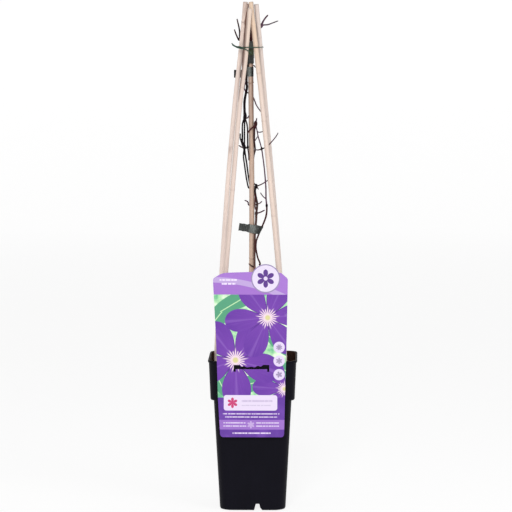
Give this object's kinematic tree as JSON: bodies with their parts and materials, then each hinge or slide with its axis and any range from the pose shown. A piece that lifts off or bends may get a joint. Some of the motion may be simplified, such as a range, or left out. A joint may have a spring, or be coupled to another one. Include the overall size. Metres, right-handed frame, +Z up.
{
  "type": "potted climbing plant",
  "caption": "Young bare clematis climber in a square black nursery pot, tied to a centre cane inside a pyramid of pale bamboo sticks, with a printed hang label hooked on the rim.",
  "frame": {"origin": "middle of the pot's footprint, on the surface that it stands on", "axes": "+Z up along the centre cane; the pot's front with the hang label faces -Y; +X is to the right seen from the front"},
  "size_m": [0.1174, 0.1222, 0.6686],
  "materials": {
    "pot_plastic": "black moulded nursery pot, satin, slightly dusty",
    "compost": null,
    "pale_bamboo": "pale peeled bamboo with faint length-wise grain",
    "brown_bamboo": "tan weathered bamboo with brown nodes",
    "vine_bark": "dark purple-brown ribbed dormant stem, paler and reddish near the soil",
    "tape": "dark grey-green tie tape wound tight",
    "wire": "dark green plastic coated wire",
    "label_plastic": "printed thin plastic sheet in purples, glossy, plain white back"
  },
  "bodies": {
    "root": {"pot": "pot_plastic", "compost": "compost", "stick_front_left": "pale_bamboo", "stick_front_right": "pale_bamboo", "stick_back_left": "pale_bamboo", "stick_back_right": "pale_bamboo", "cane": "brown_bamboo", "clematis_vine": "vine_bark", "top_tape": "tape", "middle_tape": "tape", "low_tape": "tape", "wire_tie": "wire", "label": "label_plastic"}
  },
  "joints": []
}
